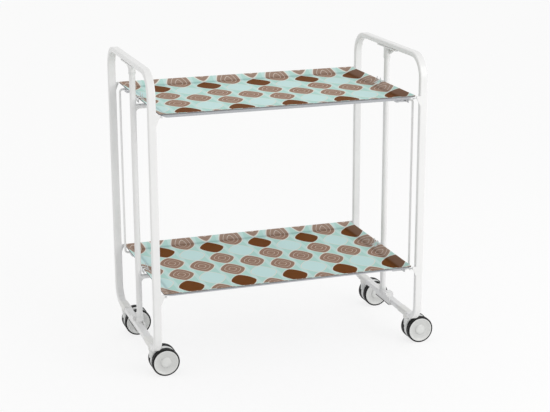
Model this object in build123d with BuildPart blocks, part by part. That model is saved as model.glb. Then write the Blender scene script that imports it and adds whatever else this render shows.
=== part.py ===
from build123d import *
import os

os.makedirs("parts", exist_ok=True)

# Folding serving cart, millimetres. +Z is up, the cart's length is along X and its front faces -Y.
# The origin is on the floor under the middle of the cart's outer box.

# End loops: a bent bow of oblong tube with a handle on top, and a rail of the same tube between its feet
LOOP_HALF_SPAN = 314.0  # middle of the cart to the plane of a loop
LEG_HALF_SPACING = 195.0
LEG_WIDTH = 18.0  # across the loop's plane
LEG_DEPTH = 12.0  # in the loop's plane
LEG_CORNER_R = 3.0
LEG_WALL = 1.5
HANDLE_Z = 700.0
BOTTOM_RAIL_Z = 73.0
HANDLE_BEND_R = 50.0
FOOT_BEND_R = 38.0
STUB_PAST_STEM = 22.0

# Foot covers: moulded sleeves that join the rail to the stubs, each with a socket for a castor
COVER_WALL = 1.0
COVER_PAST_STEM = 12.0
COVER_PAST_JOINT = 12.0

# Poles in the middle of the loops, and the collars that hold their height
POLE_OD = 14.0
POLE_WALL = 1.5
POLE_INSET = 5.0  # pole axis inboard of the loop's plane
COLLAR_WALL = 1.2
COLLAR_HEIGHT = 4.0
END_PLAY = 0.3
RUN_FIT = 0.05

# Pole brackets on the handle and on the bottom rail
BRACKET_PLATE = 2.5
SLEEVE_WALL = 1.2
SLEEVE_LENGTH = 20.0
SLEEVE_CAP = 3.0
HANDLE_SADDLE_LENGTH = 104.0
HANDLE_SADDLE_WIDTH = 18.0
WEB_SCREW_GAP = 1.5
WEB_FOOT_RISE = 6.0
CHANNEL_LONG = 56.0  # pole to the channel's far end
CHANNEL_SHORT = 28.0  # pole to its near end
CHANNEL_RISE = 4.0  # side plate above the top of the rail
CUP_DEPTH = 8.0
STOP_BLOCK_GAP = 4.0
STOP_BLOCK_LENGTH = 22.0
STOP_BLOCK_HEIGHT = 9.0
SCREW_HEAD_D = 7.0
SCREW_HEAD_HEIGHT = 2.2
SCREW_D = 4.0
SCREW_LENGTH = 6.0
SCREW_FROM_END = 9.0

# Welded triangles on the legs, and the tabs of the front ones under the tray rims
GUSSET_THICKNESS = 3.0
GUSSET_OUTSET = 4.5  # plate middle outside the leg's axis
GUSSET_REACH = 8.5
GUSSET_TOP_DROP = 1.0
GUSSET_TIP = 2.5
GUSSET_HEIGHT = 22.0
TAB_THICKNESS = 2.5
TAB_FROM_LEG = 3.0
TAB_LENGTH = 11.0
TAB_UNDER_RIM = 6.0
REST_GAP = 0.3

# Trays: moulded dishes that tilt on tubes between the poles
UPPER_RIM_DROP = 86.0  # handle to the upper tray's rim
LOWER_RIM_Z = 210.0
TRAY_END_GAP = 8.0  # leg tube to the tray's short edge
TRAY_SIDE_GAP = 2.0  # gusset plate to the tray's long edge
RIM_WIDTH = 22.0
RIM_RISE = 11.5
RIM_LIP = 1.5
PANEL_THICKNESS = 2.8
RIM_CORNER_R = 5.0
FLOOR_CORNER_R = 3.0
PIVOT_DROP = 21.0  # rim to the tilt axis
CROSS_TUBE_OD = 11.0
CROSS_TUBE_WALL = 1.2
CROSS_WEB_REACH = 16.0
CROSS_WEB_THICKNESS = 3.0
SADDLE_INSET = 45.0
SADDLE_LENGTH = 26.0
SADDLE_WALL = 3.0
FOOT_WIDTH = 12.0
FOOT_THICKNESS = 2.5
BOSS_D = 9.0
BOSS_HEIGHT = 3.0
TRAY_SCREW_D = 3.0
TRAY_SCREW_HEAD_D = 6.0
TRAY_SCREW_HEAD_HEIGHT = 1.8
TRAY_SCREW_COVER = 1.0  # panel left above the screw's tip
CLIP_WIDTH = 14.0
CLIP_THICKNESS = 1.0
CLIP_DROP = 12.0
CLIP_PRONG = 7.0
CLIP_SLOT = 5.0

# Link rods between the trays, at the back left and front right corners
ROD_D = 5.0
ROD_GAP = 1.5  # tray's short edge to the rod
ROD_FROM_SIDE = 26.0  # tray's long edge to the rod's axis
ROD_BEND_R = 7.0
ROD_HEAD_D = 8.0
ROD_HEAD_THICKNESS = 1.5
ROD_LOOSE_FIT = 0.3  # around the lower pin
PIN_DROP = 14.0  # rim to the rods' pins
EAR_INSET = 8.0
EAR_THICKNESS = 2.5
EAR_HALF_WIDTH = 6.0
EAR_ABOVE_PIN = 4.5
EAR_FOOT_LENGTH = 14.0
EAR_SCREW_FROM_END = 6.0  # screw to the foot's inner end
EAR_BOSS_GAP = 2.0  # foot of the rim's slope to the boss

# Castors: twin wheels on a hood that trails behind its stem
STEM_FROM_BEND = 21.0  # end of the foot bend to the stem's axis
CASTOR_TRAIL = 27.0
WHEEL_R = 32.0
WHEEL_WIDTH = 14.0
WHEEL_GAP = 1.0
TYRE_THICKNESS = 3.5
TYRE_EDGE_R = 1.6
RIM_STEP = 0.5  # tyre inboard of the wheel's faces
HUB_R = 8.0
DISC_RECESS = 5.0
DISC_RIM = 4.0
DISC_DISH = 3.5
DISC_BOSS_R = 12.5
DISC_BOSS_STEP = 0.5
AXLE_D = 6.0
AXLE_DEPTH = 10.0
HOOD_WIDTH = 14.0
HOOD_R = 30.5
HOOD_FLOOR_GAP = 10.0
HOOD_BOSS_Z = 42.0
STEM_D = 8.0
STEM_Z = 44.0
STEM_COLLAR_R = 7.5
STEM_COLLAR_HEIGHT = 1.2
SOCKET_OD = 13.0
SOCKET_BOSS_R = 8.5
SOCKET_PROUD = 6.0

# Values that follow from the sizes above
LEG_HALF_WIDTH = LEG_WIDTH / 2
BORE_WIDTH = LEG_WIDTH - 2 * LEG_WALL
BORE_DEPTH = LEG_DEPTH - 2 * LEG_WALL
BORE_CORNER_R = LEG_CORNER_R - LEG_WALL
POLE_R = POLE_OD / 2
SLEEVE_R = POLE_R + SLEEVE_WALL
CROSS_R = CROSS_TUBE_OD / 2
ROD_R = ROD_D / 2
MID_X = -(CASTOR_TRAIL + WHEEL_R - LEG_HALF_WIDTH - COVER_WALL) / 2
STEM_Y = LEG_HALF_SPACING - FOOT_BEND_R - STEM_FROM_BEND
STUB_END_Y = STEM_Y - STUB_PAST_STEM
TRAY_HALF_LENGTH = LOOP_HALF_SPAN - LEG_HALF_WIDTH - TRAY_END_GAP
GUSSET_Y = LEG_HALF_SPACING + GUSSET_OUTSET
TRAY_HALF_WIDTH = GUSSET_Y - GUSSET_THICKNESS / 2 - TRAY_SIDE_GAP
HANDLE_SADDLE_Z = HANDLE_Z - LEG_DEPTH / 2 - BRACKET_PLATE
CUP_FLOOR_Z = BOTTOM_RAIL_Z + LEG_DEPTH / 2 + BRACKET_PLATE
CUP_TOP_Z = CUP_FLOOR_Z + CUP_DEPTH
SLEEVE_Z = HANDLE_SADDLE_Z - SLEEVE_LENGTH
ROD_X = TRAY_HALF_LENGTH + ROD_GAP + ROD_R
ROD_Y = TRAY_HALF_WIDTH - ROD_FROM_SIDE
EAR_X = TRAY_HALF_LENGTH - EAR_INSET
SOCKET_Z = BOTTOM_RAIL_Z - LEG_DEPTH / 2 - COVER_WALL - SOCKET_PROUD
SOCKET_TOP_Z = BOTTOM_RAIL_Z + BORE_DEPTH / 2 - REST_GAP
HOOD_TOP_Z = SOCKET_Z - STEM_COLLAR_HEIGHT - END_PLAY
SIDES = {"left": -1, "right": 1}
ENDS = {"front": -1, "back": 1}
TRAYS = {"upper": HANDLE_Z - UPPER_RIM_DROP, "lower": LOWER_RIM_Z}


def save(builder, name):
    """Label a finished piece and write it to its own file."""
    builder.part.label = name
    export_step(builder.part, f"parts/{name}.step")


def loop_x(side, inset=0.0):
    """X of a point that lies inset from a loop's plane, towards the middle of the cart."""
    return MID_X + side * (LOOP_HALF_SPAN - inset)


def span(low, high):
    """Length and middle of a stretch between two coordinates given in either order."""
    return abs(high - low), (low + high) / 2


def block(x_ends, y_ends, z_ends, mode=Mode.ADD):
    """Box between pairs of coordinates."""
    (dx, x), (dy, y), (dz, z) = span(*x_ends), span(*y_ends), span(*z_ends)
    with Locations((x, y, z)):
        Box(dx, dy, dz, mode=mode)


def post(x, y, z_low, z_high, radius, mode=Mode.ADD):
    """Upright cylinder between two heights."""
    height, z = span(z_low, z_high)
    with Locations((x, y, z)):
        Cylinder(radius, height, mode=mode)


def bar_along_x(x_ends, y, z, radius, mode=Mode.ADD):
    """Round bar along X."""
    length, x = span(*x_ends)
    with Locations(Location((x, y, z), (0, 90, 0))):
        Cylinder(radius, length, mode=mode)


def bar_along_y(x, y_ends, z, radius, mode=Mode.ADD):
    """Round bar along Y."""
    length, y = span(*y_ends)
    with Locations(Location((x, y, z), (90, 0, 0))):
        Cylinder(radius, length, mode=mode)


def tube_section():
    """Section of the loops' tube, on a plane whose own X lies along the cart."""
    RectangleRounded(LEG_WIDTH, LEG_DEPTH, LEG_CORNER_R)
    RectangleRounded(BORE_WIDTH, BORE_DEPTH, BORE_CORNER_R, mode=Mode.SUBTRACT)


def screw_up(x, y, z_seat, head_d, head_height, shank_d, shank_length):
    """Screw driven upwards: its head hangs below the seat."""
    post(x, y, z_seat - head_height, z_seat, head_d / 2)
    post(x, y, z_seat, z_seat + shank_length, shank_d / 2)


HANDLE_SCREW_Y = HANDLE_SADDLE_LENGTH / 2 - SCREW_FROM_END
WEB_HALF_LENGTH = HANDLE_SCREW_Y - SCREW_HEAD_D / 2 - WEB_SCREW_GAP
RAIL_SEAT_Z = BOTTOM_RAIL_Z - LEG_DEPTH / 2 - BRACKET_PLATE

for side_name, side in SIDES.items():
    plane_x = loop_x(side)
    pole_x = loop_x(side, POLE_INSET)
    lean = -side  # the bottom bracket's long end: back on the left, front on the right
    rail_screws_y = (lean * (CHANNEL_LONG - SCREW_FROM_END), -lean * (CHANNEL_SHORT - SCREW_FROM_END))

    # Bow: one tube from foot stub to foot stub, over the handle
    with BuildPart() as bow:
        with BuildLine(Plane.YZ.offset(plane_x)) as route:
            FilletPolyline(
                (-STUB_END_Y, BOTTOM_RAIL_Z),
                (-LEG_HALF_SPACING, BOTTOM_RAIL_Z),
                (-LEG_HALF_SPACING, HANDLE_Z),
                (LEG_HALF_SPACING, HANDLE_Z),
                (LEG_HALF_SPACING, BOTTOM_RAIL_Z),
                (STUB_END_Y, BOTTOM_RAIL_Z),
                radius=[FOOT_BEND_R, HANDLE_BEND_R, HANDLE_BEND_R, FOOT_BEND_R],
            )
        with BuildSketch(Plane(origin=route.line @ 0, x_dir=(1, 0, 0), z_dir=route.line % 0)):
            tube_section()
        sweep()
        for end in ENDS.values():
            post(plane_x, end * STEM_Y, SOCKET_Z, BOTTOM_RAIL_Z, SOCKET_OD / 2, Mode.SUBTRACT)
            post(plane_x, end * HANDLE_SCREW_Y, HANDLE_SADDLE_Z, HANDLE_Z, SCREW_D / 2, Mode.SUBTRACT)
    save(bow, f"{side_name}_bow")

    # Bottom rail: length of the same tube, butted against the stubs
    with BuildPart() as rail:
        with BuildSketch(Plane(origin=(plane_x, 0, BOTTOM_RAIL_Z), x_dir=(1, 0, 0), z_dir=(0, 1, 0))):
            tube_section()
        extrude(amount=STUB_END_Y, both=True)
        for screw_y in rail_screws_y:
            post(plane_x, screw_y, RAIL_SEAT_Z, BOTTOM_RAIL_Z, SCREW_D / 2, Mode.SUBTRACT)
    save(rail, f"{side_name}_bottom_rail")

    # Top bracket: saddle under the handle, triangular web and a blind sleeve for the pole
    with BuildPart() as top_bracket:
        block(
            (plane_x - HANDLE_SADDLE_WIDTH / 2, plane_x + HANDLE_SADDLE_WIDTH / 2),
            (-HANDLE_SADDLE_LENGTH / 2, HANDLE_SADDLE_LENGTH / 2),
            (HANDLE_SADDLE_Z, HANDLE_SADDLE_Z + BRACKET_PLATE),
        )
        with BuildSketch(Plane.YZ.offset(plane_x)):
            Polygon(
                (-WEB_HALF_LENGTH, HANDLE_SADDLE_Z),
                (WEB_HALF_LENGTH, HANDLE_SADDLE_Z),
                (SLEEVE_R, SLEEVE_Z + WEB_FOOT_RISE),
                (-SLEEVE_R, SLEEVE_Z + WEB_FOOT_RISE),
                align=None,
            )
        extrude(amount=BRACKET_PLATE / 2, both=True)
        post(pole_x, 0, SLEEVE_Z, HANDLE_SADDLE_Z, SLEEVE_R)
        post(pole_x, 0, SLEEVE_Z, HANDLE_SADDLE_Z - SLEEVE_CAP, POLE_R + RUN_FIT, Mode.SUBTRACT)
        for end in ENDS.values():
            post(plane_x, end * HANDLE_SCREW_Y, HANDLE_SADDLE_Z, HANDLE_Z, SCREW_D / 2, Mode.SUBTRACT)
    save(top_bracket, f"{side_name}_top_bracket")

    # Bottom bracket: channel along the rail, cup for the pole's foot and a stop block beside it
    rail_top_z = BOTTOM_RAIL_Z + LEG_DEPTH / 2
    plate_out = LEG_HALF_WIDTH + BRACKET_PLATE
    channel_y = (lean * CHANNEL_LONG, -lean * CHANNEL_SHORT)
    stop_y = SLEEVE_R + STOP_BLOCK_GAP
    with BuildPart() as bottom_bracket:
        block(
            (loop_x(side, LEG_HALF_WIDTH), loop_x(side, plate_out)),
            channel_y,
            (RAIL_SEAT_Z, rail_top_z + CHANNEL_RISE),
        )
        block(
            (loop_x(side, -LEG_HALF_WIDTH), loop_x(side, plate_out)),
            channel_y,
            (RAIL_SEAT_Z, RAIL_SEAT_Z + BRACKET_PLATE),
        )
        block(
            (loop_x(side, -LEG_HALF_WIDTH), loop_x(side, plate_out)),
            (lean * stop_y, lean * (stop_y + STOP_BLOCK_LENGTH)),
            (rail_top_z, rail_top_z + STOP_BLOCK_HEIGHT),
        )
        post(pole_x, 0, rail_top_z, CUP_TOP_Z, SLEEVE_R)
        post(pole_x, 0, CUP_FLOOR_Z, CUP_TOP_Z, POLE_R + RUN_FIT, Mode.SUBTRACT)
        for screw_y in rail_screws_y:
            post(plane_x, screw_y, RAIL_SEAT_Z, BOTTOM_RAIL_Z, SCREW_D / 2, Mode.SUBTRACT)
    save(bottom_bracket, f"{side_name}_bottom_bracket")

    # Screws that hold the two brackets, driven up into the tubes
    bracket_seats = [(end * HANDLE_SCREW_Y, HANDLE_SADDLE_Z) for end in ENDS.values()]
    bracket_seats += [(screw_y, RAIL_SEAT_Z) for screw_y in rail_screws_y]
    with BuildPart() as bracket_screws:
        for seat_y, seat_z in bracket_seats:
            screw_up(plane_x, seat_y, seat_z, SCREW_HEAD_D, SCREW_HEAD_HEIGHT, SCREW_D, SCREW_LENGTH)
    save(bracket_screws, f"{side_name}_bracket_screws")

    # Gussets: a welded triangle on each leg below each rim, the front ones with a rest tab
    tab_top_drop = PANEL_THICKNESS + TAB_UNDER_RIM * RIM_RISE / RIM_WIDTH + REST_GAP
    gusset_tip = LEG_HALF_WIDTH + GUSSET_REACH
    tab_start = LEG_HALF_WIDTH + TAB_FROM_LEG
    with BuildPart() as gussets:
        for end in ENDS.values():
            for rim_z in TRAYS.values():
                top_z = rim_z - GUSSET_TOP_DROP
                with BuildSketch(Plane.XZ.offset(-end * GUSSET_Y)):
                    Polygon(
                        (loop_x(side), top_z),
                        (loop_x(side, gusset_tip), top_z),
                        (loop_x(side, gusset_tip), top_z - GUSSET_TIP),
                        (loop_x(side, LEG_HALF_WIDTH), top_z - GUSSET_HEIGHT),
                        (loop_x(side), top_z - GUSSET_HEIGHT),
                        align=None,
                    )
                extrude(amount=GUSSET_THICKNESS / 2, both=True)
                if end == ENDS["front"]:
                    tab_z = rim_z - tab_top_drop
                    block(
                        (loop_x(side, tab_start), loop_x(side, tab_start + TAB_LENGTH)),
                        (end * GUSSET_Y, end * (TRAY_HALF_WIDTH - TAB_UNDER_RIM)),
                        (tab_z, tab_z - TAB_THICKNESS),
                    )
            with BuildSketch(Plane(origin=(plane_x, end * LEG_HALF_SPACING, 0))):
                RectangleRounded(LEG_WIDTH, LEG_DEPTH, LEG_CORNER_R)
            extrude(amount=HANDLE_Z, mode=Mode.SUBTRACT)
    save(gussets, f"{side_name}_tray_gussets")

    # Foot covers: sleeves over the joints, with a boss and a socket that goes up through the tube's underside
    with BuildPart() as covers:
        for end in ENDS.values():
            length, cover_y = span(STUB_END_Y - COVER_PAST_JOINT, STEM_Y + COVER_PAST_STEM)
            cover_middle = (plane_x, end * cover_y, BOTTOM_RAIL_Z)
            cover_plane = Plane(origin=cover_middle, x_dir=(1, 0, 0), z_dir=(0, 1, 0))
            with BuildSketch(cover_plane):
                RectangleRounded(LEG_WIDTH, LEG_DEPTH, LEG_CORNER_R)
                offset(amount=COVER_WALL)
            extrude(amount=length / 2, both=True)
            post(plane_x, end * STEM_Y, SOCKET_Z, BOTTOM_RAIL_Z, SOCKET_BOSS_R)
            with BuildSketch(cover_plane):
                RectangleRounded(LEG_WIDTH, LEG_DEPTH, LEG_CORNER_R)
            extrude(amount=length / 2, both=True, mode=Mode.SUBTRACT)
            post(plane_x, end * STEM_Y, SOCKET_Z, SOCKET_TOP_Z, SOCKET_OD / 2)
            post(plane_x, end * STEM_Y, SOCKET_Z, SOCKET_TOP_Z, STEM_D / 2 + RUN_FIT, Mode.SUBTRACT)
    save(covers, f"{side_name}_foot_covers")

    # Pole: thin tube from the cup on the rail to the sleeve under the handle
    with BuildPart() as pole:
        pole_ends = (CUP_FLOOR_Z + END_PLAY, HANDLE_SADDLE_Z - SLEEVE_CAP - END_PLAY)
        post(pole_x, 0, *pole_ends, POLE_R)
        post(pole_x, 0, *pole_ends, POLE_R - POLE_WALL, Mode.SUBTRACT)
    save(pole, f"{side_name}_pole")

# Collars pinned to the poles, above each cup and below each sleeve
with BuildPart() as collars:
    for side in SIDES.values():
        for collar_z in (CUP_TOP_Z + END_PLAY, SLEEVE_Z - END_PLAY - COLLAR_HEIGHT):
            collar_ends = (collar_z, collar_z + COLLAR_HEIGHT)
            post(loop_x(side, POLE_INSET), 0, *collar_ends, POLE_R + COLLAR_WALL)
            post(loop_x(side, POLE_INSET), 0, *collar_ends, POLE_R, Mode.SUBTRACT)
save(collars, "pole_collars")

PIVOT_TO_FLOOR = PIVOT_DROP - RIM_RISE - PANEL_THICKNESS  # tilt axis up to the underside of a tray
FOOT_TOP = PIVOT_TO_FLOOR - BOSS_HEIGHT
SADDLE_R = CROSS_R + RUN_FIT + SADDLE_WALL
SADDLE_SCREW_Y = SADDLE_R + FOOT_WIDTH / 2
EAR_SCREW_X = TRAY_HALF_LENGTH - RIM_WIDTH - EAR_BOSS_GAP - BOSS_D / 2
EAR_SCREW_Y = ROD_Y - EAR_HALF_WIDTH - EAR_FOOT_LENGTH / 2
SADDLE_X = TRAY_HALF_LENGTH - SADDLE_INSET
TRAY_SCREW_LENGTH = FOOT_THICKNESS + BOSS_HEIGHT + PANEL_THICKNESS - TRAY_SCREW_COVER
SADDLE_SPOTS = [(side * SADDLE_X, end * SADDLE_SCREW_Y) for side in SIDES.values() for end in ENDS.values()]
EAR_SPOTS = [(side * EAR_SCREW_X, -side * EAR_SCREW_Y) for side in SIDES.values()]

for tray_name, rim_z in TRAYS.items():
    axis_z = rim_z - PIVOT_DROP
    underside_z = axis_z + PIVOT_TO_FLOOR
    screw_seat_z = axis_z + FOOT_TOP - FOOT_THICKNESS

    # Cross tube: welded between the poles, with a small web under each end
    with BuildPart() as cross_tube:
        pole_ends_x = (loop_x(-1, POLE_INSET), loop_x(1, POLE_INSET))
        bar_along_x(pole_ends_x, 0, axis_z, CROSS_R)
        for side in SIDES.values():
            web = POLE_R + CROSS_WEB_REACH
            pole_x = loop_x(side, POLE_INSET)
            with BuildSketch(Plane.XZ):
                with BuildLine():
                    tip = (loop_x(side, POLE_INSET + web), axis_z)
                    corner = (pole_x, axis_z)
                    foot = (pole_x, axis_z - CROSS_R - CROSS_WEB_REACH)
                    inner = (loop_x(side, POLE_INSET + POLE_R), axis_z - CROSS_R)
                    Polyline(tip, corner, foot)
                    Bezier(foot, inner, tip)
                make_face()
            extrude(amount=CROSS_WEB_THICKNESS / 2, both=True)
        bar_along_x(pole_ends_x, 0, axis_z, CROSS_R - CROSS_TUBE_WALL, Mode.SUBTRACT)
        for side in SIDES.values():
            post(loop_x(side, POLE_INSET), 0, 0, HANDLE_Z, POLE_R, Mode.SUBTRACT)
    save(cross_tube, f"{tray_name}_cross_tube")

    # Panel: flat floor, sloping rim with a narrow flat lip, and screw bosses underneath
    rim_size = (2 * TRAY_HALF_LENGTH, 2 * TRAY_HALF_WIDTH)
    floor_size = (2 * (TRAY_HALF_LENGTH - RIM_WIDTH), 2 * (TRAY_HALF_WIDTH - RIM_WIDTH))
    mouth_size = (2 * (TRAY_HALF_LENGTH - RIM_LIP), 2 * (TRAY_HALF_WIDTH - RIM_LIP))
    middle = Plane(origin=(MID_X, 0, 0))
    with BuildPart() as panel:
        with BuildSketch(middle.offset(underside_z)):
            RectangleRounded(*floor_size, FLOOR_CORNER_R)
        with BuildSketch(middle.offset(rim_z - PANEL_THICKNESS)):
            RectangleRounded(*rim_size, RIM_CORNER_R)
        loft()
        with BuildSketch(middle.offset(rim_z - PANEL_THICKNESS)):
            RectangleRounded(*rim_size, RIM_CORNER_R)
        extrude(amount=PANEL_THICKNESS)
        with BuildSketch(middle.offset(underside_z + PANEL_THICKNESS)):
            RectangleRounded(*floor_size, FLOOR_CORNER_R)
        with BuildSketch(middle.offset(rim_z)):
            RectangleRounded(*mouth_size, RIM_CORNER_R - RIM_LIP)
        loft(mode=Mode.SUBTRACT)
        for x, y in SADDLE_SPOTS + EAR_SPOTS:
            post(MID_X + x, y, underside_z - BOSS_HEIGHT, underside_z, BOSS_D / 2)
        for x, y in SADDLE_SPOTS + EAR_SPOTS:
            tip_z = screw_seat_z + TRAY_SCREW_LENGTH
            post(MID_X + x, y, underside_z - BOSS_HEIGHT, tip_z, TRAY_SCREW_D / 2, Mode.SUBTRACT)
    save(panel, f"{tray_name}_tray_panel")

    # Saddles: bearing blocks under the panel, bored for the cross tube, with a foot on each side
    with BuildPart() as saddles:
        for side in SIDES.values():
            middle_x = MID_X + side * SADDLE_X
            block_ends = (middle_x - SADDLE_LENGTH / 2, middle_x + SADDLE_LENGTH / 2)
            foot_reach = SADDLE_R + FOOT_WIDTH
            bar_along_x(block_ends, 0, axis_z, SADDLE_R)
            block(block_ends, (-SADDLE_R, SADDLE_R), (axis_z, underside_z))
            block(
                block_ends,
                (-foot_reach, foot_reach),
                (axis_z + FOOT_TOP - FOOT_THICKNESS, axis_z + FOOT_TOP),
            )
            block(block_ends, (-foot_reach, foot_reach), (underside_z, rim_z), Mode.SUBTRACT)
            bar_along_x(block_ends, 0, axis_z, CROSS_R + RUN_FIT, Mode.SUBTRACT)
        for x, y in SADDLE_SPOTS:
            post(MID_X + x, y, screw_seat_z, screw_seat_z + FOOT_THICKNESS, TRAY_SCREW_D / 2, Mode.SUBTRACT)
    save(saddles, f"{tray_name}_tray_saddles")

    # Rod ears: angle brackets with a hole for a rod's pin and a foot on a boss
    pin_hole_r = ROD_R + (RUN_FIT if tray_name == "upper" else ROD_LOOSE_FIT)
    with BuildPart() as ears:
        for side in SIDES.values():
            end = -side
            plate_x = (MID_X + side * EAR_X, MID_X + side * (EAR_X - EAR_THICKNESS))
            foot_end = MID_X + side * (EAR_SCREW_X - EAR_SCREW_FROM_END)
            foot_y = (end * (ROD_Y - EAR_HALF_WIDTH), end * (ROD_Y - EAR_HALF_WIDTH - EAR_FOOT_LENGTH))
            pin_z = rim_z - PIN_DROP
            block(plate_x, (end * (ROD_Y + EAR_HALF_WIDTH), foot_y[1]), (screw_seat_z, pin_z + EAR_ABOVE_PIN))
            block((plate_x[0], foot_end), foot_y, (screw_seat_z, screw_seat_z + FOOT_THICKNESS))
            bar_along_x(plate_x, end * ROD_Y, pin_z, pin_hole_r, Mode.SUBTRACT)
        for x, y in EAR_SPOTS:
            post(MID_X + x, y, screw_seat_z, screw_seat_z + FOOT_THICKNESS, TRAY_SCREW_D / 2, Mode.SUBTRACT)
    save(ears, f"{tray_name}_tray_rod_ears")

    # End clips: forked strips folded over the middle of each short rim
    mouth_slope = RIM_RISE / (RIM_WIDTH - RIM_LIP)
    with BuildPart() as clips:
        for side in SIDES.values():
            edge_x = MID_X + side * TRAY_HALF_LENGTH
            mouth_x = edge_x - side * RIM_LIP
            prong_x = mouth_x - side * CLIP_PRONG
            prong_z = rim_z - CLIP_PRONG * mouth_slope
            with BuildSketch(Plane.XZ):
                Polygon(
                    (edge_x + side * CLIP_THICKNESS, rim_z - CLIP_DROP),
                    (edge_x + side * CLIP_THICKNESS, rim_z + CLIP_THICKNESS),
                    (mouth_x, rim_z + CLIP_THICKNESS),
                    (prong_x, prong_z + CLIP_THICKNESS),
                    (prong_x, prong_z),
                    (mouth_x, rim_z),
                    (edge_x, rim_z),
                    (edge_x, rim_z - CLIP_DROP),
                    align=None,
                )
            extrude(amount=CLIP_WIDTH / 2, both=True)
            block(
                (mouth_x, prong_x),
                (-CLIP_SLOT / 2, CLIP_SLOT / 2),
                (prong_z, rim_z + CLIP_THICKNESS),
                Mode.SUBTRACT,
            )
    save(clips, f"{tray_name}_tray_end_clips")

    # Screws of the saddles and ears, driven up into the bosses
    with BuildPart() as tray_screws:
        for x, y in SADDLE_SPOTS + EAR_SPOTS:
            screw_up(
                MID_X + x,
                y,
                screw_seat_z,
                TRAY_SCREW_HEAD_D,
                TRAY_SCREW_HEAD_HEIGHT,
                TRAY_SCREW_D,
                TRAY_SCREW_LENGTH,
            )
    save(tray_screws, f"{tray_name}_tray_screws")

# Link rods: wire with both ends bent inwards as pins, each pin headed behind its ear
for side_name, side in SIDES.items():
    rod_y = -side * ROD_Y
    pin_end = MID_X + side * (EAR_X - EAR_THICKNESS - REST_GAP - ROD_HEAD_THICKNESS)
    head_ends = (pin_end, pin_end + side * ROD_HEAD_THICKNESS)
    pin_heights = [rim_z - PIN_DROP for rim_z in TRAYS.values()]
    with BuildPart() as rod:
        with BuildLine(Plane.XZ.offset(-rod_y)) as route:
            FilletPolyline(
                (pin_end, pin_heights[0]),
                (MID_X + side * ROD_X, pin_heights[0]),
                (MID_X + side * ROD_X, pin_heights[1]),
                (pin_end, pin_heights[1]),
                radius=ROD_BEND_R,
            )
        with BuildSketch(Plane(origin=route.line @ 0, z_dir=route.line % 0)):
            Circle(ROD_R)
        sweep()
        for pin_z in pin_heights:
            bar_along_x(head_ends, rod_y, pin_z, ROD_HEAD_D / 2)
    save(rod, f"{side_name}_link_rod")

WHEEL_FACE = HOOD_WIDTH / 2 + WHEEL_GAP  # hood's middle to the inner face of a wheel
DISC_R = WHEEL_R - TYRE_THICKNESS
DISC_EDGE = WHEEL_WIDTH - 2 * RIM_STEP
AXLE_REACH = WHEEL_FACE + AXLE_DEPTH - REST_GAP

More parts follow.
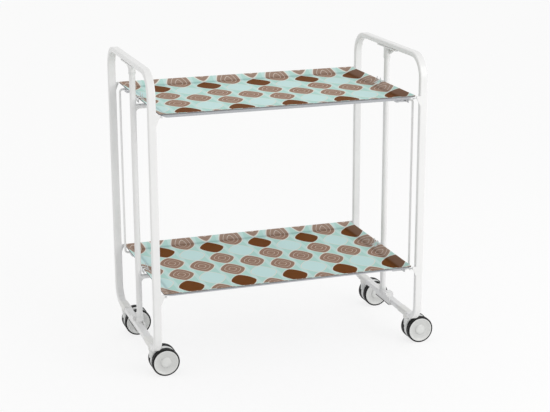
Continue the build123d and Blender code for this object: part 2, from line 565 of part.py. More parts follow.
for end_name, end in ENDS.items():
    for side_name, side in SIDES.items():
        castor = f"{end_name}_{side_name}"
        stem_x = loop_x(side)
        stem_y = end * STEM_Y
        axle_x = stem_x + CASTOR_TRAIL

        # Hood: round web between the wheels, joined to an upright boss round the stem
        with BuildPart() as hood:
            hood_faces = (stem_y - HOOD_WIDTH / 2, stem_y + HOOD_WIDTH / 2)
            bar_along_y(axle_x, hood_faces, WHEEL_R, HOOD_R)
            block((axle_x - HOOD_R, axle_x + HOOD_R), hood_faces, (0, HOOD_FLOOR_GAP), Mode.SUBTRACT)
            block((stem_x, axle_x), hood_faces, (HOOD_BOSS_Z, HOOD_TOP_Z))
            post(stem_x, stem_y, HOOD_BOSS_Z, HOOD_TOP_Z, HOOD_WIDTH / 2)
            post(stem_x, stem_y, STEM_Z, HOOD_TOP_Z, STEM_D / 2, Mode.SUBTRACT)
            bar_along_y(axle_x, hood_faces, WHEEL_R, AXLE_D / 2, Mode.SUBTRACT)
        save(hood, f"{castor}_castor_hood")

        # Stem: steel pin pressed into the hood, free to turn in the socket
        with BuildPart() as stem:
            post(stem_x, stem_y, STEM_Z, SOCKET_TOP_Z, STEM_D / 2)
            post(stem_x, stem_y, HOOD_TOP_Z, HOOD_TOP_Z + STEM_COLLAR_HEIGHT, STEM_COLLAR_R)
        save(stem, f"{castor}_castor_stem")

        # Axle: steel pin through the hood, with a wheel on each end
        with BuildPart() as axle:
            bar_along_y(axle_x, (stem_y - AXLE_REACH, stem_y + AXLE_REACH), WHEEL_R, AXLE_D / 2)
        save(axle, f"{castor}_castor_axle")

        for wheel_name, out in (("outer", end), ("inner", -end)):
            face_y = stem_y + out * WHEEL_FACE
            section = Plane(origin=(axle_x, face_y, WHEEL_R), x_dir=(1, 0, 0), z_dir=(0, 0, out))
            spin_axis = Axis((axle_x, face_y, WHEEL_R), (0, 1, 0))

            # Disc: hub with a blind bore, recessed back and a dished front with a domed boss
            with BuildPart() as disc:
                with BuildSketch(section):
                    with BuildLine():
                        rim_in = DISC_R - DISC_RIM
                        shoulder = (DISC_R - DISC_RIM / 2, WHEEL_WIDTH - RIM_STEP / 2)
                        dish_level = WHEEL_WIDTH - DISC_DISH
                        boss_foot = (DISC_BOSS_R + DISC_BOSS_STEP, dish_level)
                        boss_edge = (DISC_BOSS_R, dish_level + DISC_BOSS_STEP)
                        Polyline(
                            (0, WHEEL_WIDTH),
                            (0, AXLE_DEPTH),
                            (AXLE_D / 2 + RUN_FIT, AXLE_DEPTH),
                            (AXLE_D / 2 + RUN_FIT, 0),
                            (HUB_R, 0),
                            (HUB_R, DISC_RECESS),
                            (rim_in, DISC_RECESS),
                            (rim_in, RIM_STEP),
                            (DISC_R, RIM_STEP),
                            (DISC_R, RIM_STEP + DISC_EDGE),
                            shoulder,
                        )
                        dish_r = (DISC_BOSS_R + DISC_R) / 2
                        ThreePointArc(shoulder, (dish_r, dish_level), boss_foot)
                        Line(boss_foot, boss_edge)
                        TangentArc((0, WHEEL_WIDTH), boss_edge, tangent=(1, 0))
                    make_face()
                revolve(axis=spin_axis)
            save(disc, f"{castor}_{wheel_name}_wheel_disc")

            # Tyre: ring round the disc with eased tread edges
            with BuildPart() as tyre:
                with BuildSketch(section):
                    with Locations(((DISC_R + WHEEL_R) / 2, WHEEL_WIDTH / 2)):
                        Rectangle(TYRE_THICKNESS, DISC_EDGE)
                    tread = vertices().group_by(Axis.X)[-1]
                    fillet(tread, TYRE_EDGE_R)
                revolve(axis=spin_axis)
            save(tyre, f"{castor}_{wheel_name}_wheel_tyre")
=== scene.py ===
import math

import bpy
import numpy as np
from mathutils import Matrix, Vector


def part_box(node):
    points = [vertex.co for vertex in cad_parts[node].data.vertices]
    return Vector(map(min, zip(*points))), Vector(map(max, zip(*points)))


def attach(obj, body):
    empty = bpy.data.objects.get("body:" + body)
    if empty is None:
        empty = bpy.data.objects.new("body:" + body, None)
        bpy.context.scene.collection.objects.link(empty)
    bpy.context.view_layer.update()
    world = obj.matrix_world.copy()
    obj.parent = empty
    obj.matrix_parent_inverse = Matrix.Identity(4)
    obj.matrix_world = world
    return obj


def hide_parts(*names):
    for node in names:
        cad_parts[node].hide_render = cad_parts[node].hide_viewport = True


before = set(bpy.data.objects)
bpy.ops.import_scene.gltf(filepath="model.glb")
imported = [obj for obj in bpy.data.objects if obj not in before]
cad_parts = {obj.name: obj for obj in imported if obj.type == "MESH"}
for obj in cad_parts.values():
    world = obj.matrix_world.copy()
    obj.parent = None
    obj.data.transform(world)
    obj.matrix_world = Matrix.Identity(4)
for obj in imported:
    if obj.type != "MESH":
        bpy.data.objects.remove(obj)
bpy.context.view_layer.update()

# Camera: stands in front of the cart to the left, a little above it, as the photo was taken.
# Angles are in degrees, the place in metres, and the focal length in pixels of a picture 550 pixels wide.
camera_turn, camera_tilt, camera_roll = (math.radians(angle) for angle in (18.719, 15.910, -0.220))
camera_place = (-1.0132, -2.9978, 1.2308)
picture_width = 550
focal_length = 1385.6
view_distance = 60.0
scene = bpy.context.scene
forward = Vector((
    math.sin(camera_turn) * math.cos(camera_tilt),
    math.cos(camera_turn) * math.cos(camera_tilt),
    -math.sin(camera_tilt),
))
level = Vector((math.cos(camera_turn), -math.sin(camera_turn), 0.0))
upright = level.cross(forward)
right = math.cos(camera_roll) * level + math.sin(camera_roll) * upright
up = right.cross(forward)
camera = bpy.data.objects.new("camera", bpy.data.cameras.new("camera"))
camera.data.lens = focal_length * camera.data.sensor_width / picture_width
camera.data.clip_end = view_distance
camera.matrix_world = Matrix((right, up, -forward)).transposed().to_4x4()
camera.location = camera_place
scene.collection.objects.link(camera)
scene.camera = camera

# Light: an even pale room, and a broad soft lamp in front on the right. Seen directly, in a reflection or
# through something clear, the room is plain white.
plain_white = (1.0, 1.0, 1.0, 1.0)
ambient_colour = (1.0, 1.0, 0.995, 1.0)
ambient_strength = 0.82
lamp_place = Vector((1.9, -2.6, 1.8))
lamp_aim = Vector((0.0, 0.0, 0.3))
lamp_width = 2.6
lamp_watts = 38.0


def plain_white_rays(tree):
    """Socket that is 1 for camera, glossy and transmission rays and 0 for all others: the largest of
    the three."""
    ray = tree.nodes.new("ShaderNodeLightPath")
    share = ray.outputs["Is Camera Ray"]
    for other in ("Is Glossy Ray", "Is Transmission Ray"):
        larger = tree.nodes.new("ShaderNodeMath")
        larger.operation = "MAXIMUM"
        tree.links.new(share, larger.inputs[0])
        tree.links.new(ray.outputs[other], larger.inputs[1])
        share = larger.outputs[0]
    return share


scene.view_settings.view_transform = "Standard"
world = bpy.data.worlds.new("room")
scene.world = world
world.use_nodes = True
room = world.node_tree
room.nodes.clear()
backdrop = room.nodes.new("ShaderNodeBackground")
backdrop.inputs["Color"].default_value = plain_white
ambient = room.nodes.new("ShaderNodeBackground")
ambient.inputs["Color"].default_value = ambient_colour
ambient.inputs["Strength"].default_value = ambient_strength
choose = room.nodes.new("ShaderNodeMixShader")
room_out = room.nodes.new("ShaderNodeOutputWorld")
room.links.new(plain_white_rays(room), choose.inputs["Fac"])
room.links.new(ambient.outputs["Background"], choose.inputs[1])
room.links.new(backdrop.outputs["Background"], choose.inputs[2])
room.links.new(choose.outputs["Shader"], room_out.inputs["Surface"])
lamp = bpy.data.objects.new("soft_lamp", bpy.data.lights.new("soft_lamp", "AREA"))
lamp.data.shape = "DISK"
lamp.data.size = lamp_width
lamp.data.energy = lamp_watts
lamp.location = lamp_place
lamp.rotation_euler = (lamp_aim - lamp_place).to_track_quat("-Z", "Y").to_euler()
scene.collection.objects.link(lamp)

# End loops: bent oblong steel tube with a white gloss powder coat, which has a faint orange peel. The bottom
# rails, poles, link rods and the triangles welded on below the tray corners have the same coat. Its grain is
# noise over object coordinates: a slow part for colour and roughness, and a fine part for the bump.
coat_roughness = 0.12
relief_depth = 0.0004
grain = bpy.data.node_groups.new("grain", "ShaderNodeTree")
grain.interface.new_socket("Slow Scale", in_out="INPUT", socket_type="NodeSocketFloat")
grain.interface.new_socket("Fine Scale", in_out="INPUT", socket_type="NodeSocketFloat")
grain.interface.new_socket("Factor", in_out="OUTPUT", socket_type="NodeSocketFloat")
grain.interface.new_socket("Height", in_out="OUTPUT", socket_type="NodeSocketFloat")
grain_in = grain.nodes.new("NodeGroupInput")
grain_out = grain.nodes.new("NodeGroupOutput")
grain_place = grain.nodes.new("ShaderNodeTexCoord")
for scale_socket, result_socket, detail in (("Slow Scale", "Factor", 3.0), ("Fine Scale", "Height", 2.0)):
    noise = grain.nodes.new("ShaderNodeTexNoise")
    noise.inputs["Detail"].default_value = detail
    grain.links.new(grain_place.outputs["Object"], noise.inputs["Vector"])
    grain.links.new(grain_in.outputs[scale_socket], noise.inputs["Scale"])
    grain.links.new(noise.outputs["Fac"], grain_out.inputs[result_socket])


def grained(name, low, high, rough, slow, fine, bump, metallic=0.0, coat=0.0):
    """Material whose colour goes from low to high and roughness over the pair rough with the grain's
    slow part, and whose bump is the grain's fine part at the given strength."""
    material = bpy.data.materials.new(name)
    material.use_nodes = True
    tree = material.node_tree
    shader = tree.nodes["Principled BSDF"]
    shader.inputs["Metallic"].default_value = metallic
    shader.inputs["Coat Weight"].default_value = coat
    shader.inputs["Coat Roughness"].default_value = coat_roughness
    group = tree.nodes.new("ShaderNodeGroup")
    group.node_tree = grain
    group.inputs["Slow Scale"].default_value = slow
    group.inputs["Fine Scale"].default_value = fine
    tint = tree.nodes.new("ShaderNodeMix")
    tint.name = "tint"
    tint.data_type = "RGBA"
    tint.inputs["A"].default_value = (*low, 1.0)
    tint.inputs["B"].default_value = (*high, 1.0)
    spread = tree.nodes.new("ShaderNodeMapRange")
    spread.inputs["To Min"].default_value = rough[0]
    spread.inputs["To Max"].default_value = rough[1]
    relief = tree.nodes.new("ShaderNodeBump")
    relief.inputs["Strength"].default_value = bump
    relief.inputs["Distance"].default_value = relief_depth
    tree.links.new(group.outputs["Factor"], tint.inputs["Factor"])
    tree.links.new(group.outputs["Factor"], spread.inputs["Value"])
    tree.links.new(group.outputs["Height"], relief.inputs["Height"])
    tree.links.new(tint.outputs["Result"], shader.inputs["Base Color"])
    tree.links.new(spread.outputs["Result"], shader.inputs["Roughness"])
    tree.links.new(relief.outputs["Normal"], shader.inputs["Normal"])
    return material


def dress(material, *names):
    """Give CAD nodes one material."""
    for name in names:
        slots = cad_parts[name].data.materials
        slots.clear()
        slots.append(material)


powder = grained(
    "white_powder_coat", low=(0.77, 0.77, 0.765), high=(0.84, 0.84, 0.835), rough=(0.30, 0.42),
    slow=9.0, fine=900.0, bump=0.10, coat=0.25,
)
for side in ("left", "right"):
    dress(powder, *(f"{side}_{part}" for part in ("bow", "bottom_rail", "tray_gussets", "pole", "link_rod")))

# Brackets and cross tubes: steel pressings and tubes in the same coat. The brackets are screwed to the loops
# and hold the poles, and the cross tubes are welded between the poles.
for side in ("left", "right"):
    dress(powder, f"{side}_top_bracket", f"{side}_bottom_bracket")
dress(powder, "upper_cross_tube", "lower_cross_tube")

# White mouldings: the collars on the poles and the saddles that turn on the cross tubes are plain white
# plastic. The foot covers, pushed over the joints of the rails and bows, are a slightly creamier one.
moulding = grained(
    "white_moulding", low=(0.74, 0.75, 0.74), high=(0.80, 0.81, 0.80), rough=(0.36, 0.48),
    slow=14.0, fine=1400.0, bump=0.06,
)
cream = grained(
    "cream_moulding", low=(0.77, 0.768, 0.745), high=(0.83, 0.828, 0.805), rough=(0.34, 0.46),
    slow=16.0, fine=1400.0, bump=0.06,
)
dress(moulding, "pole_collars", "upper_tray_saddles", "lower_tray_saddles")
dress(cream, "left_foot_covers", "right_foot_covers")

# Small steel: zinc plated screws and rod ears, with a faint mottle. The screws hold the brackets to the
# tubes, and the saddles and ears to the trays. The link rods' pins turn in the ears.
zinc = grained(
    "zinc_plate", low=(0.50, 0.51, 0.53), high=(0.66, 0.66, 0.67), rough=(0.25, 0.45),
    slow=120.0, fine=2500.0, bump=0.10, metallic=1.0,
)
dress(zinc, "left_bracket_screws", "right_bracket_screws")
for tray in ("upper", "lower"):
    dress(zinc, f"{tray}_tray_screws", f"{tray}_tray_rod_ears")

# Tray print: staggered rounded lozenges over a striped mint ground, on coordinates in metres from the tray's
# middle. Every other column is dropped by half a lozenge. Lozenges are chocolate, taupe with cream hoops or
# pale aqua, chosen by column and row, each with a pale outline.
lozenge_width = 0.062
lozenge_depth = 0.088
lozenge_power = 1.45  # 1 would be a diamond and 2 an oval
fill_edge = 0.95  # of the way from a lozenge's middle to the edge of its cell
outline_edge = 1.02
edge_softness = 0.012
hoop_shift = 0.02
hoop_spacing = 0.16
hoop_half_width = 0.018
hoop_softness = 0.008
stripe_spacing = 0.0155
stripe_half_width = 0.005
stripe_softness = 0.001
whole_number_margin = 0.1
mint = (0.462, 0.712, 0.655)
pale_mint = (0.565, 0.770, 0.735)
chocolate = (0.150, 0.044, 0.002)
taupe = (0.318, 0.196, 0.138)
cream_hoop = (0.72, 0.62, 0.54)
aqua = (0.585, 0.800, 0.785)
pale_outline = (0.760, 0.770, 0.710)
tray_print = bpy.data.node_groups.new("tray_print", "ShaderNodeTree")
tray_print.interface.new_socket("Place", in_out="INPUT", socket_type="NodeSocketVector")
tray_print.interface.new_socket("Color", in_out="OUTPUT", socket_type="NodeSocketColor")
print_in = tray_print.nodes.new("NodeGroupInput")
print_out = tray_print.nodes.new("NodeGroupOutput")


def calc(operation, *terms):
    """Math node in the tray print. A term is a number or an output socket."""
    step = tray_print.nodes.new("ShaderNodeMath")
    step.operation = operation
    for socket, term in zip(step.inputs, terms):
        if isinstance(term, (int, float)):
            socket.default_value = term
        else:
            tray_print.links.new(term, socket)
    return step.outputs[0]


def under(value, limit, soft):
    """1 where value is below limit and 0 where it is above, over a soft step."""
    fade = tray_print.nodes.new("ShaderNodeMapRange")
    fade.interpolation_type = "SMOOTHSTEP"
    fade.inputs["From Min"].default_value = limit - soft
    fade.inputs["From Max"].default_value = limit + soft
    fade.inputs["To Min"].default_value = 1.0
    fade.inputs["To Max"].default_value = 0.0
    tray_print.links.new(value, fade.inputs["Value"])
    return fade.outputs["Result"]


def paint(tree, ground, colour, share, blend="MIX"):
    """Mix node: colour laid over ground by share. Ground and colour are each a socket or an RGB triple."""
    mix = tree.nodes.new("ShaderNodeMix")
    mix.data_type = "RGBA"
    mix.blend_type = blend
    tree.links.new(share, mix.inputs["Factor"])
    for socket_name, value in (("A", ground), ("B", colour)):
        if isinstance(value, tuple):
            mix.inputs[socket_name].default_value = (*value, 1.0)
        else:
            tree.links.new(value, mix.inputs[socket_name])
    return mix.outputs["Result"]


def one_in(value, cycle):
    """1 for one whole number in each cycle, the one that leaves a remainder of 1, and 0 for the others."""
    return calc("COMPARE", calc("FLOORED_MODULO", value, cycle), 1.0, whole_number_margin)


split = tray_print.nodes.new("ShaderNodeSeparateXYZ")
tray_print.links.new(print_in.outputs["Place"], split.inputs["Vector"])
across = calc("DIVIDE", split.outputs["X"], lozenge_width)
dropped = calc("FLOORED_MODULO", calc("FLOOR", across), 2.0)
along = calc("ADD", calc("DIVIDE", split.outputs["Y"], lozenge_depth), calc("MULTIPLY", dropped, 0.5))
row = calc("FLOOR", along)
from_middle = [
    calc("ABSOLUTE", calc("MULTIPLY_ADD", calc("FRACT", place), 2.0, -1.0)) for place in (across, along)
]
power_sum = calc("ADD", *(calc("POWER", part, lozenge_power) for part in from_middle))
reach = calc("POWER", power_sum, 1.0 / lozenge_power)
is_chocolate = calc("MULTIPLY", calc("SUBTRACT", 1.0, dropped), one_in(row, 3.0))
is_aqua = calc("MULTIPLY", dropped, one_in(row, 2.0))
is_taupe = calc("SUBTRACT", 1.0, calc("ADD", is_chocolate, is_aqua))
fill = under(reach, fill_edge, edge_softness)
outline = calc("SUBTRACT", under(reach, outline_edge, edge_softness), fill)
hoop_wave = calc("PINGPONG", calc("ADD", reach, hoop_shift), hoop_spacing)
hooped_taupe = paint(tray_print, taupe, cream_hoop, under(hoop_wave, hoop_half_width, hoop_softness))
stripe_wave = calc("PINGPONG", split.outputs["X"], stripe_spacing)
colour = paint(tray_print, mint, pale_mint, under(stripe_wave, stripe_half_width, stripe_softness))
for lozenge_colour, chosen in ((hooped_taupe, is_taupe), (chocolate, is_chocolate), (aqua, is_aqua)):
    colour = paint(tray_print, colour, lozenge_colour, calc("MULTIPLY", fill, chosen))
colour = paint(tray_print, colour, pale_outline, outline)
tray_print.links.new(colour, print_out.inputs["Color"])

# Tray surface: the print on the upper side, a dark cut edge and a plain lavender grey underside, told apart
# by the tone of each face, all under a satin seal that hardly shines. A painted shade darkens the print along
# the fold at the foot of the rim, and a painted sheen makes it a little paler up the rim toward the lip.
print_tone = 1.0
edge_tone = 0.5
underside_tone = 0.0
cut_edge = (0.20, 0.21, 0.22)
# Painted shade along the fold at the foot of the rim, multiplied into the print.
fold_shade = (0.70, 0.72, 0.74)
# Painted sheen up the rim, mixed over the print.
rim_sheen_colour = (0.80, 0.88, 0.87)
seal_shine = 0.02
laminate = grained(
    "printed_laminate", low=(0.52, 0.53, 0.56), high=(0.60, 0.61, 0.64), rough=(0.46, 0.56),
    slow=20.0, fine=1200.0, bump=0.05,
)
tree = laminate.node_tree
shader = tree.nodes["Principled BSDF"]
shader.inputs["Specular IOR Level"].default_value = seal_shine
print_place = tree.nodes.new("ShaderNodeUVMap")
print_place.uv_map = "place"
motif = tree.nodes.new("ShaderNodeGroup")
motif.node_tree = tray_print
tree.links.new(print_place.outputs["UV"], motif.inputs["Place"])
tone = tree.nodes.new("ShaderNodeAttribute")
tone.attribute_name = "tone"
colour = tree.nodes["tint"].outputs["Result"]
edge_limit = (underside_tone + edge_tone) / 2
print_limit = (edge_tone + print_tone) / 2
for tone_limit, layer in ((edge_limit, cut_edge), (print_limit, motif.outputs["Color"])):
    above = tree.nodes.new("ShaderNodeMath")
    above.operation = "GREATER_THAN"
    above.inputs[1].default_value = tone_limit
    tree.links.new(tone.outputs["Fac"], above.inputs[0])
    colour = paint(tree, colour, layer, above.outputs[0])
# Painted shade along the fold, then painted sheen up the rim, each by its point attribute.
for mark, shade, blend in (("fold_shade_share", fold_shade, "MULTIPLY"), ("rim_sheen_share", rim_sheen_colour, "MIX")):
    share = tree.nodes.new("ShaderNodeAttribute")
    share.attribute_name = mark
    colour = paint(tree, colour, shade, share.outputs["Fac"], blend)
tree.links.new(colour, shader.inputs["Base Color"])

# Tray panels: each is one moulded sheet, a flat floor that bends up into a sloping rim with a narrow lip.
# The profile runs from the floor over the lip to the underside, and is carried round a rounded rectangle.
# It rests on the saddles and on the tabs of the front triangles.
rim_width = 0.022
rim_rise = 0.0115
lip_width = 0.0015
sheet_thick = 0.0028
floor_inset = 0.042  # edge of the tray to the flat cap of the floor
fold_reach = 0.007
lip_reach = 0.0007
edge_reach = 0.0006
rim_corner = 0.005
floor_corner = 0.003
edge_margin = 0.0004  # a point of the profile nearer the edge than this is on the cut edge
# Width of the painted shade band along the fold.
fold_shade_width = 0.005
# Painted sheen up the rim: its strength, the inset where it starts, and the inset over which it grows full.
rim_sheen_strength = 0.08
rim_sheen_from = 0.021
rim_sheen_over = 0.006
bend_steps = 6
corner_steps = 10


def eased(corners, reaches, steps):
    """Polyline with each inner corner replaced by a parabola that starts and ends its reach away from it."""
    corners = np.array(corners, float)
    line = [corners[:1]]
    share = np.linspace(0.0, 1.0, steps + 1)[:, None]
    for before, corner, after, distance in zip(corners, corners[1:], corners[2:], reaches):
        start = corner + (before - corner) * distance / np.linalg.norm(before - corner)
        end = corner + (after - corner) * distance / np.linalg.norm(after - corner)
        line.append((1 - share) ** 2 * start + 2 * share * (1 - share) * corner + share ** 2 * end)
    line.append(corners[-1:])
    return np.concatenate(line)


def outline_ring(half_x, half_y, radius, steps):
    """Rounded rectangle about the origin, anticlockwise: a quarter circle of the radius at each corner.
    Columns of half sizes and radii give one rectangle per row."""
    turn = np.radians(np.arange(4)[:, None] * 90 + np.linspace(0, 90, steps + 1)[None, :]).ravel()
    sign_x = np.repeat([1, -1, -1, 1], steps + 1)
    sign_y = np.repeat([1, 1, -1, -1], steps + 1)
    x = sign_x * (half_x - radius) + radius * np.cos(turn)
    y = sign_y * (half_y - radius) + radius * np.sin(turn)
    return np.stack([x, y], -1)


def ring_faces(rings, count):
    """Faces over rings of count points, numbered ring after ring: a flat cap on the first ring, a quad from
    each two neighbours to the same two on the next ring, and a flat cap on the last ring."""
    first, step = np.meshgrid(np.arange(rings - 1) * count, np.arange(count), indexing="ij")
    after = (step + 1) % count
    quads = np.stack([first + after, first + step, first + count + step, first + count + after], -1)
    last_cap = range(rings * count - 1, (rings - 1) * count - 1, -1)
    return [list(range(count)), *quads.reshape(-1, 4).tolist(), list(last_cap)]


def add_piece(name, points, faces, material, body, *stands_for):
    """Mesh object in the row frame that rides on a body and stands for CAD nodes."""
    mesh = bpy.data.meshes.new(name)
    mesh.from_pydata(points.tolist(), [], faces)
    mesh.polygons.foreach_set("use_smooth", np.ones(len(mesh.polygons), bool))
    mesh.materials.append(material)
    piece = bpy.data.objects.new(name, mesh)
    scene.collection.objects.link(piece)
    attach(piece, body)
    if stands_for:
        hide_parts(*stands_for)
    return piece


def mark_piece(piece, name, domain, values):
    """Attribute of a piece, one value for each point or face, which its material reads."""
    layer = piece.data.attributes.new(name, "FLOAT", domain)
    layer.data.foreach_set("value", np.array(values, np.float32))


sheet_section = eased(
    [
        (floor_inset, -rim_rise),
        (rim_width, -rim_rise),
        (lip_width, 0.0),
        (0.0, 0.0),
        (0.0, -sheet_thick),
        (rim_width, -rim_rise - sheet_thick),
        (floor_inset, -rim_rise - sheet_thick),
    ],
    [fold_reach, lip_reach, edge_reach, edge_reach, fold_reach],
    bend_steps,
)
inset, rise = sheet_section.T[:, :, None]
corner_radius = rim_corner - (rim_corner - floor_corner) * np.minimum(inset / rim_width, 1.0)
edge_rows = np.flatnonzero(sheet_section[:, 0] < edge_margin)
row_number = np.arange(len(sheet_section))
row_tone = np.where(row_number < edge_rows[-1], edge_tone, underside_tone)
row_tone[:edge_rows[len(edge_rows) // 3]] = print_tone
printed = row_number <= edge_rows[0]
# Painted shade share along the fold, highest where the floor meets the rim, on printed rows only.
fold_shade_share = printed * np.exp(-(((sheet_section[:, 0] - rim_width) / fold_shade_width) ** 2))
# Painted sheen share: none inward of the start inset, growing to full toward the lip, on printed rows only.
rim_sheen_share = printed * rim_sheen_strength * np.clip((rim_sheen_from - sheet_section[:, 0]) / rim_sheen_over, 0.0, 1.0)
for tray in ("upper", "lower"):
    low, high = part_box(f"{tray}_tray_panel")
    middle = np.array([low.x + high.x, low.y + high.y]) / 2
    half_length = (high.x - low.x) / 2
    half_width = (high.y - low.y) / 2
    rings = outline_ring(half_length - inset, half_width - inset, corner_radius, corner_steps) + middle
    count = rings.shape[1]
    height = np.broadcast_to(high.z + rise, rings.shape[:2])
    points = np.concatenate([rings, height[:, :, None]], -1).reshape(-1, 3)
    faces = ring_faces(len(rings), count)
    sheet = add_piece(f"{tray}_tray_sheet", points, faces, laminate, f"{tray}_tray", f"{tray}_tray_panel")
    mark_piece(sheet, "tone", "FACE", [print_tone, *np.repeat(row_tone[:-1], count), underside_tone])
    mark_piece(sheet, "fold_shade_share", "POINT", np.repeat(fold_shade_share, count))
    mark_piece(sheet, "rim_sheen_share", "POINT", np.repeat(rim_sheen_share, count))
    loops = np.zeros(len(sheet.data.loops), np.int32)
    sheet.data.loops.foreach_get("vertex_index", loops)
    spread = (points[loops, :2] - middle).astype(np.float32)
    sheet.data.uv_layers.new(name="place").data.foreach_set("uv", spread.ravel())

# Weld beads: where each cross tube butts against a pole, a bead of weld runs round the seam.
# It is rippled along its length, and covered by the same coat as the tubes.
cross_tube_radius = 0.0055
pole_radius = 0.0070
bead_radius = 0.0011
ripples = 17
ripple_share = 0.14


def weld_ring(seam_steps, bead_steps):
    """Bead along the seam of a tube that butts against a post, both about the origin, with the tube along +x.
    A circle of the bead's radius, which swells and shrinks in ripples, is carried round the tube. The seam's
    distance from the post's axis is the root of the post's radius squared less y squared."""
    turn = np.linspace(0.0, 2 * math.pi, seam_steps, endpoint=False)[:, None]
    spin = np.linspace(0.0, 2 * math.pi, bead_steps, endpoint=False)[None, :]
    bead = bead_radius * (1.0 + ripple_share * np.sin(ripples * turn))
    seam = np.sqrt(pole_radius ** 2 - (cross_tube_radius * np.cos(turn)) ** 2)
    radius = cross_tube_radius + bead * np.cos(spin)
    points = np.stack([seam + bead * np.sin(spin), radius * np.cos(turn), radius * np.sin(turn)], -1)
    row, column = np.meshgrid(np.arange(seam_steps), np.arange(bead_steps), indexing="ij")
    next_row = (row + 1) % seam_steps
    next_column = (column + 1) % bead_steps
    corners = ((row, column), (next_row, column), (next_row, next_column), (row, next_column))
    quads = np.stack([ring * bead_steps + place for ring, place in corners], -1)
    return points.reshape(-1, 3), quads.reshape(-1, 4)


def joined(shapes):
    """Points and faces of several shapes as one: each shape's point numbers go on from those of the last."""
    starts = np.cumsum([0] + [len(points) for points, faces in shapes]).tolist()
    all_faces = []
    for start, (points, faces) in zip(starts, shapes):
        all_faces += [[start + number for number in face] for face in faces]
    return np.concatenate([points for points, faces in shapes]), all_faces


bead_points, bead_quads = weld_ring(seam_steps=112, bead_steps=10)
beads = []
for tray in ("upper", "lower"):
    tube_axis_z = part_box(f"{tray}_cross_tube")[1].z - cross_tube_radius
    for side, inward in (("left", 1.0), ("right", -1.0)):
        pole_low, pole_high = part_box(f"{side}_pole")
        seat = [(pole_low.x + pole_high.x) / 2, 0.0, tube_axis_z]
        outward_quads = bead_quads if inward > 0 else bead_quads[:, ::-1]
        beads.append((bead_points * [inward, 1.0, 1.0] + seat, outward_quads.tolist()))
points, faces = joined(beads)
add_piece("cross_tube_welds", points, faces, powder, "frame")

# End clips: milky moulded forks pushed over the middle of each short rim, beside the pole. Each has two
# tongues bent over the lip and down the outside, a bar that joins them below, and two small horns that stand
# up. Paths are in millimetres inward from the tray's edge and up from its rim.
milky = grained(
    "milky_clip", low=(0.58, 0.60, 0.60), high=(0.68, 0.70, 0.70), rough=(0.22, 0.34),
    slow=60.0, fine=1800.0, bump=0.05,
)
clip_half_thick = 0.0006
bar_half_thick = 0.98 * clip_half_thick  # just inside the faces of the tongues
strip_corner_share = 0.9
strip_corner_steps = 4
tongue = eased([(15.4, -7.12), (1.3, 0.75), (-0.7, 0.75), (-0.7, -11.0)], [0.8, 0.6], steps=5) / 1000
tongue_half_width = 0.0032
tongue_spots = (-0.0085, 0.0085)
horn = np.array([(8.6, -3.6), (8.5, 2.0), (8.0, 8.6)]) / 1000
horn_half_width = 0.0016
horn_spots = (-0.0100, 0.0100)
joining_bar = np.array([(-0.7, -8.0), (-0.7, -11.0)]) / 1000
bar_half_width = 0.0060


def bent_strip(path, half_width, half_thick):
    """Flat strip with its width along y: a rounded rectangle of half_width by half_thick carried along a path
    of x and z points, square to it, and closed at both ends."""
    along = np.gradient(path, axis=0)
    along /= np.linalg.norm(along, axis=1)[:, None]
    ring = outline_ring(half_width, half_thick, half_thick * strip_corner_share, strip_corner_steps)
    x = path[:, :1] - along[:, 1:] * ring[None, :, 1]
    z = path[:, 1:] + along[:, :1] * ring[None, :, 1]
    y = np.broadcast_to(ring[None, :, 0], x.shape)
    faces = [face[::-1] for face in ring_faces(len(path), len(ring))]
    return np.stack([x, y, z], -1).reshape(-1, 3), faces


clip_strips = (
    (tongue, tongue_half_width, clip_half_thick, tongue_spots),
    (horn, horn_half_width, clip_half_thick, horn_spots),
    (joining_bar, bar_half_width, bar_half_thick, (0.0,)),
)
for tray in ("upper", "lower"):
    low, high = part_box(f"{tray}_tray_panel")
    strips = []
    for edge_x, inward in ((low.x, 1.0), (high.x, -1.0)):
        for path, half_width, half_thick, spots in clip_strips:
            placed = np.column_stack([edge_x + inward * path[:, 0], high.z + path[:, 1]])
            strip, faces = bent_strip(placed, half_width, half_thick)
            strips += [(strip + [0.0, spot, 0.0], faces) for spot in spots]
    points, faces = joined(strips)
    add_piece(f"{tray}_end_clip_pair", points, faces, milky, f"{tray}_tray", f"{tray}_tray_end_clips")

# Castors: twin wheels with dished moulded discs and black rubber tyres, on a plated axle through a moulded
# hood, whose plated stem turns in the foot cover. A disc is a turned section: domed hub cap, groove, dished
# face, rolled rim, and the recessed back with its bore, as radius and distance outward in millimetres.
rubber_shine = 0.20
rubber = grained(
    "black_rubber", low=(0.005, 0.005, 0.005), high=(0.012, 0.012, 0.012), rough=(0.45, 0.60),
    slow=30.0, fine=1500.0, bump=0.15,
)
rubber.node_tree.nodes["Principled BSDF"].inputs["Specular IOR Level"].default_value = rubber_shine
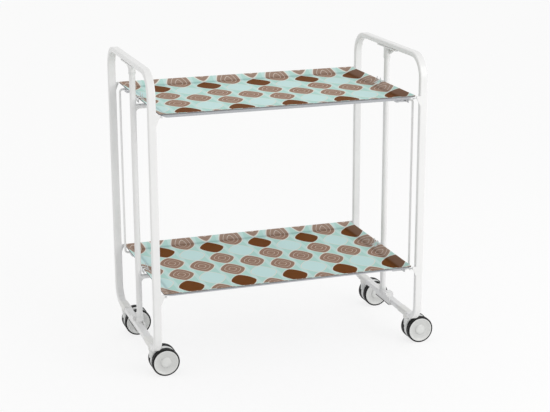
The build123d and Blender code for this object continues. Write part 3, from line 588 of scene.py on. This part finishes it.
# Painted shade: the disc colour darkens with depth below the disc's outer face, fullest in the dish and back.
sunk_shade = (0.86, 0.86, 0.86)
disc_plastic = grained(
    "pale_disc", low=(0.66, 0.665, 0.65), high=(0.72, 0.725, 0.71), rough=(0.24, 0.36),
    slow=25.0, fine=1400.0, bump=0.05, coat=0.2,
)
tree = disc_plastic.node_tree
sunk = tree.nodes.new("ShaderNodeAttribute")
sunk.attribute_name = "sunk"
colour = paint(tree, tree.nodes["tint"].outputs["Result"], sunk_shade, sunk.outputs["Fac"], "MULTIPLY")
tree.links.new(colour, tree.nodes["Principled BSDF"].inputs["Base Color"])
disc_steps = 72
disc_face = 0.0139
dish_depth = 0.0036
disc_section = eased(
    [
        (0.4, 13.9), (8.0, 13.6), (11.6, 12.2), (12.5, 10.6), (13.4, 10.3), (20.0, 10.9), (24.6, 12.4),
        (26.2, 13.9), (28.5, 13.8), (28.5, 0.5), (24.5, 0.5), (24.5, 5.0), (8.0, 5.0), (8.0, 0.0),
        (3.05, 0.0), (3.05, 10.0), (0.4, 10.0),
    ],
    [2.5, 1.2, 0.4, 0.4, 2.2, 1.0, 0.8, 0.9, 0.4, 0.4, 0.6, 0.6, 0.4, 0.4, 0.3],
    steps=4,
) / 1000
# Share of the painted shade at each profile point: 0 at the outer face, 1 at dish_depth below it and deeper.
depth_below_face = np.clip((disc_face - disc_section[:, 1]) / dish_depth, 0.0, 1.0)


def turned(profile, steps, centre, out):
    """Surface of revolution about an axle along y: each profile point, a radius and a distance outward, goes
    round in equal steps. Both ends of the profile are closed with a flat face."""
    turn = np.linspace(0.0, 2 * math.pi, steps, endpoint=False)
    radius, reach = profile.T[:, :, None]
    x = centre[0] + radius * np.cos(turn)
    z = centre[2] + radius * np.sin(turn)
    y = np.broadcast_to(centre[1] + out * reach, x.shape)
    faces = ring_faces(len(profile), steps)
    if out > 0:
        faces = [face[::-1] for face in faces]
    return np.stack([x, y, z], -1).reshape(-1, 3), faces


for castor in ("front_left", "back_left", "front_right", "back_right"):
    dress(moulding, f"{castor}_castor_hood")
    dress(zinc, f"{castor}_castor_stem", f"{castor}_castor_axle")
    hood_low, hood_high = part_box(f"{castor}_castor_hood")
    hood_y = (hood_low.y + hood_high.y) / 2
    for wheel in ("outer", "inner"):
        dress(rubber, f"{castor}_{wheel}_wheel_tyre")
        low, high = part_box(f"{castor}_{wheel}_wheel_disc")
        out = 1.0 if low.y > hood_y else -1.0
        axle_start = ((low.x + high.x) / 2, low.y if out > 0 else high.y, (low.z + high.z) / 2)
        points, faces = turned(disc_section, disc_steps, axle_start, out)
        disc = add_piece(
            f"{castor}_{wheel}_dished_disc", points, faces, disc_plastic,
            f"{castor}_{wheel}_wheel", f"{castor}_{wheel}_wheel_disc",
        )
        mark_piece(disc, "sunk", "POINT", np.repeat(depth_below_face, disc_steps))

# Channel shadow strips: thin black strips along the lower edges of each bottom channel, on both of its
# sides: a painted shadow along the gap between the channel and the rail. Each is bent in a little under
# the edge and stops just short of the channel's ends. The path is in metres outward from the channel's side
# and up from its lower edge.
shadow_strip_path = np.array([(0.0002, 0.0018), (0.0003, 0.0006), (-0.0008, 0.0002)])
shadow_strip_half_thick = 0.00035
shadow_strip_end_gap = 0.001
channel_plate = 0.0025
for side, inboard in (("left", 1.0), ("right", -1.0)):
    low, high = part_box(f"{side}_bottom_bracket")
    rail_low, rail_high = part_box(f"{side}_bottom_rail")
    rail_x = (rail_low.x + rail_high.x) / 2
    rail_half = (rail_high.x - rail_low.x) / 2
    half_length = (high.y - low.y) / 2 - shadow_strip_end_gap
    strips = []
    for side_x, out in ((rail_half + channel_plate, inboard), (rail_half, -inboard)):
        placed = np.column_stack([rail_x + out * (side_x + shadow_strip_path[:, 0]), low.z + shadow_strip_path[:, 1]])
        strip, faces = bent_strip(placed, half_length, shadow_strip_half_thick)
        strips.append((strip + [0.0, (low.y + high.y) / 2, 0.0], faces))
    points, faces = joined(strips)
    add_piece(f"{side}_channel_shadow_strips", points, faces, rubber, "frame")

# Floor: a wide white sheet under the castors, not part of the cart. Seen directly or in a reflection it is
# mostly its own white, so that the backdrop stays plain, and the rest of it takes the cart's shadow.
floor_half = 30.0
own_white_share = 0.80
paper = grained(
    "white_floor", low=(0.90, 0.90, 0.90), high=(0.93, 0.93, 0.93), rough=(0.7, 0.8),
    slow=2.0, fine=60.0, bump=0.0,
)
tree = paper.node_tree
own_white = tree.nodes.new("ShaderNodeEmission")
own_white.inputs["Color"].default_value = plain_white
part_white = tree.nodes.new("ShaderNodeMath")
part_white.operation = "MULTIPLY"
part_white.inputs[1].default_value = own_white_share
choose = tree.nodes.new("ShaderNodeMixShader")
tree.links.new(plain_white_rays(tree), part_white.inputs[0])
tree.links.new(part_white.outputs[0], choose.inputs["Fac"])
tree.links.new(tree.nodes["Principled BSDF"].outputs["BSDF"], choose.inputs[1])
tree.links.new(own_white.outputs["Emission"], choose.inputs[2])
tree.links.new(choose.outputs["Shader"], tree.nodes["Material Output"].inputs["Surface"])
floor = bpy.data.objects.new("floor", bpy.data.meshes.new("floor"))
floor_corners = [(x * floor_half, y * floor_half, 0.0) for x, y in ((-1, -1), (1, -1), (1, 1), (-1, 1))]
floor.data.from_pydata(floor_corners, [], [(0, 1, 2, 3)])
floor.data.materials.append(paper)
scene.collection.objects.link(floor)
